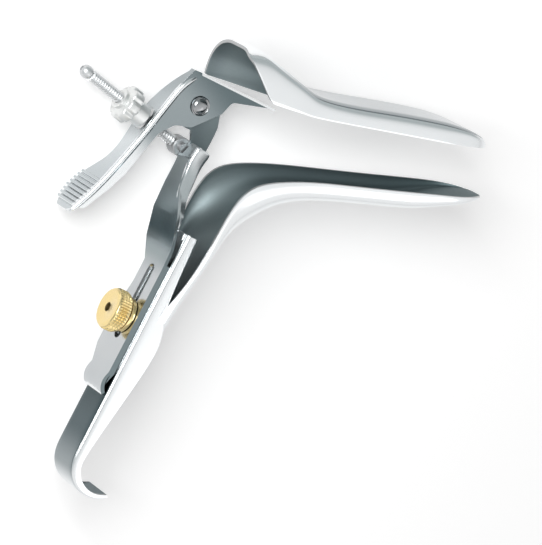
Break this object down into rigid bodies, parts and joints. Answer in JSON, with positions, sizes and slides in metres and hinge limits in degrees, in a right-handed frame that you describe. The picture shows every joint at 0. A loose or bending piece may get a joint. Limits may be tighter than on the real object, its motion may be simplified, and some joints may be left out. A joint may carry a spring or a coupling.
{
  "type": "bivalve speculum",
  "caption": "Side-opening bivalve speculum in polished steel, with a brass clamp knob on its hooked handle and a screw and nut that set the blade angle",
  "frame": {"origin": "On the table under the middle of the object's outline, as it lies on its side", "axes": "+X along the blades towards their tips; +Y from the lower blade towards the upper blade, up in use; +Z across the blades, up as the object lies, towards its open side"},
  "size_m": [0.1826, 0.1992, 0.0556],
  "materials": {
    "polished_steel": "gloss",
    "turned_steel": "satin",
    "satin_steel": "satin",
    "brass": "gloss"
  },
  "bodies": {
    "handle_body": {"lower_blade": "polished_steel", "handle": "polished_steel", "clamp_stud": "turned_steel", "clamp_washer": "brass"},
    "frame_body": {"frame_yoke": "polished_steel", "hinge_rivet": "turned_steel", "swivel_pin": "turned_steel"},
    "upper_body": {"upper_blade": "polished_steel", "thumb_lever": "polished_steel"},
    "knob_body": {"clamp_knob": "brass"},
    "screw_body": {"angle_screw": "turned_steel", "screw_end_cap": "turned_steel"},
    "nut_body": {"angle_nut": "satin_steel"}
  },
  "joints": [
    {"name": "frame_slide", "type": "slide", "parent": "handle_body", "child": "frame_body", "axis": [-0.309, -0.9511, 0], "range_m": [-0.007, 0.01]},
    {"name": "upper_hinge", "type": "hinge", "parent": "frame_body", "child": "upper_body", "pos_m": [-0.03668, 0.0671, 0.01735], "axis": [0, 0, 1], "range_deg": [-4, 14]},
    {"name": "knob_turn", "type": "hinge", "parent": "handle_body", "child": "knob_body", "pos_m": [-0.06591, -0.01972, 0.0368], "axis": [-0.9511, 0.309, 0], "continuous": true},
    {"name": "screw_swivel", "type": "hinge", "parent": "frame_body", "child": "screw_body", "pos_m": [-0.03918, 0.0479, 0.0118], "axis": [0, 0, 1], "range_deg": [-2.8, 9.6]},
    {"name": "nut_travel", "type": "slide", "parent": "screw_body", "child": "nut_body", "axis": [-0.8763, 0.4818, 0], "range_m": [-0.0045, 0.0013]}
  ],
  "couplings": [
    {"joint": "screw_swivel", "follows": "upper_hinge", "ratio": 0.68},
    {"joint": "nut_travel", "follows": "upper_hinge", "m_per_rad": -0.0181}
  ]
}
